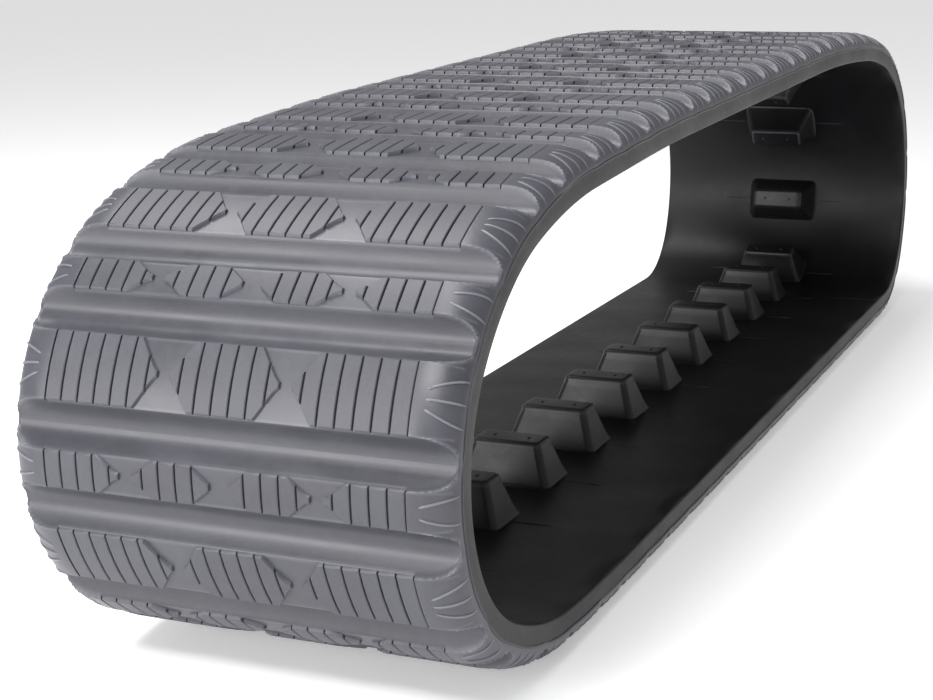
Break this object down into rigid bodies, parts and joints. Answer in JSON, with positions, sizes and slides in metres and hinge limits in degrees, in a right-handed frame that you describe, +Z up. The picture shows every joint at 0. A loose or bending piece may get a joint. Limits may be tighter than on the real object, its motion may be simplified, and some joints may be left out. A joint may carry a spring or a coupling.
{
  "type": "rubber track",
  "caption": "Endless rubber track for a compact loader, with drive lugs inside, block tread bars outside and tension cords buried in the belt.",
  "frame": {"origin": "centre of the bounding box on the ground plane, under the tread", "axes": "+X along the loop towards the rear end, +Y across the belt, +Z up from the ground"},
  "size_m": [1.137, 0.24, 0.2841],
  "materials": {
    "cover_rubber": "satin",
    "tread_rubber": "satin",
    "lug_rubber": "satin",
    "cord_steel": "brushed"
  },
  "bodies": {
    "bottom": {"bottom_inner_cover": "cover_rubber", "bottom_tension_cords": "cord_steel", "bottom_outer_cover": "tread_rubber", "bottom_wide_bars": "tread_rubber", "bottom_narrow_bars": "tread_rubber", "bottom_drive_lugs": "lug_rubber"},
    "front_1": {"front_1_inner_cover": "cover_rubber", "front_1_tension_cords": "cord_steel", "front_1_outer_cover": "tread_rubber", "front_1_wide_bars": "tread_rubber", "front_1_narrow_bars": "tread_rubber", "front_1_drive_lugs": "lug_rubber"},
    "front_2": {"front_2_inner_cover": "cover_rubber", "front_2_tension_cords": "cord_steel", "front_2_outer_cover": "tread_rubber", "front_2_wide_bars": "tread_rubber", "front_2_narrow_bars": "tread_rubber", "front_2_drive_lugs": "lug_rubber"},
    "front_3": {"front_3_inner_cover": "cover_rubber", "front_3_tension_cords": "cord_steel", "front_3_outer_cover": "tread_rubber", "front_3_wide_bars": "tread_rubber", "front_3_narrow_bars": "tread_rubber", "front_3_drive_lugs": "lug_rubber"},
    "front_4": {"front_4_inner_cover": "cover_rubber", "front_4_tension_cords": "cord_steel", "front_4_outer_cover": "tread_rubber", "front_4_wide_bars": "tread_rubber", "front_4_narrow_bars": "tread_rubber", "front_4_drive_lugs": "lug_rubber"},
    "top": {"top_inner_cover": "cover_rubber", "top_tension_cords": "cord_steel", "top_outer_cover": "tread_rubber", "top_wide_bars": "tread_rubber", "top_narrow_bars": "tread_rubber", "top_drive_lugs": "lug_rubber"},
    "rear_4": {"rear_4_inner_cover": "cover_rubber", "rear_4_tension_cords": "cord_steel", "rear_4_outer_cover": "tread_rubber", "rear_4_wide_bars": "tread_rubber", "rear_4_narrow_bars": "tread_rubber", "rear_4_drive_lugs": "lug_rubber"},
    "rear_3": {"rear_3_inner_cover": "cover_rubber", "rear_3_tension_cords": "cord_steel", "rear_3_outer_cover": "tread_rubber", "rear_3_wide_bars": "tread_rubber", "rear_3_narrow_bars": "tread_rubber", "rear_3_drive_lugs": "lug_rubber"},
    "rear_2": {"rear_2_inner_cover": "cover_rubber", "rear_2_tension_cords": "cord_steel", "rear_2_outer_cover": "tread_rubber", "rear_2_wide_bars": "tread_rubber", "rear_2_narrow_bars": "tread_rubber", "rear_2_drive_lugs": "lug_rubber"},
    "rear_1": {"rear_1_inner_cover": "cover_rubber", "rear_1_tension_cords": "cord_steel", "rear_1_outer_cover": "tread_rubber", "rear_1_wide_bars": "tread_rubber", "rear_1_narrow_bars": "tread_rubber", "rear_1_drive_lugs": "lug_rubber"}
  },
  "joints": [
    {"name": "front_flex_1", "type": "hinge", "parent": "bottom", "child": "front_1", "pos_m": [-0.41074, 0, 0.02029], "axis": [0, 1, 0], "range_deg": [-9.99, 8.56], "stiffness_Nm_per_rad": 60, "springref_deg": 2.37},
    {"name": "front_flex_2", "type": "hinge", "parent": "front_1", "child": "front_2", "pos_m": [-0.49486, 0, 0.04244], "axis": [0, 1, 0], "range_deg": [-1.16, 1.35], "stiffness_Nm_per_rad": 60, "springref_deg": -0.32},
    {"name": "front_flex_3", "type": "hinge", "parent": "front_2", "child": "front_3", "pos_m": [-0.54768, 0, 0.10884], "axis": [0, 1, 0], "range_deg": [-12, 14], "stiffness_Nm_per_rad": 60, "springref_deg": -3.32},
    {"name": "front_flex_4", "type": "hinge", "parent": "front_3", "child": "front_4", "pos_m": [-0.52797, 0, 0.1909], "axis": [0, 1, 0], "range_deg": [-1.68, 1.96], "stiffness_Nm_per_rad": 60, "springref_deg": -0.46},
    {"name": "front_flex_5", "type": "hinge", "parent": "front_4", "child": "top", "pos_m": [-0.45534, 0, 0.23762], "axis": [0, 1, 0], "range_deg": [-7.33, 6.28], "stiffness_Nm_per_rad": 60, "springref_deg": 1.74},
    {"name": "rear_flex_1", "type": "hinge", "parent": "bottom", "child": "rear_1", "pos_m": [0.46522, 0, 0.018], "axis": [0, 1, 0], "range_deg": [-9.42, 10.99], "stiffness_Nm_per_rad": 60, "springref_deg": -2.61},
    {"name": "rear_flex_2", "type": "hinge", "parent": "rear_1", "child": "rear_2", "pos_m": [0.53646, 0, 0.06122], "axis": [0, 1, 0], "range_deg": [-11.04, 9.46], "stiffness_Nm_per_rad": 60, "springref_deg": 2.62},
    {"name": "rear_flex_5", "type": "hinge", "parent": "top", "child": "rear_4", "pos_m": [0.41818, 0, 0.25056], "axis": [0, 1, 0], "range_deg": [-14.34, 12.29], "stiffness_Nm_per_rad": 60, "springref_deg": 3.4},
    {"name": "rear_flex_4", "type": "hinge", "parent": "rear_4", "child": "rear_3", "pos_m": [0.4984, 0, 0.21692], "axis": [0, 1, 0], "range_deg": [-12.26, 14.3], "stiffness_Nm_per_rad": 60, "springref_deg": -3.39}
  ],
  "couplings": [
    {"joint": "front_flex_1", "follows": "front_flex_3", "ratio": -0.713},
    {"joint": "front_flex_2", "follows": "front_flex_3", "ratio": 0.096},
    {"joint": "front_flex_4", "follows": "front_flex_3", "ratio": 0.14},
    {"joint": "front_flex_5", "follows": "front_flex_3", "ratio": -0.523},
    {"joint": "rear_flex_1", "follows": "front_flex_3", "ratio": 0.785},
    {"joint": "rear_flex_2", "follows": "front_flex_3", "ratio": -0.788},
    {"joint": "rear_flex_5", "follows": "front_flex_3", "ratio": -1.024},
    {"joint": "rear_flex_4", "follows": "front_flex_3", "ratio": 1.021}
  ]
}
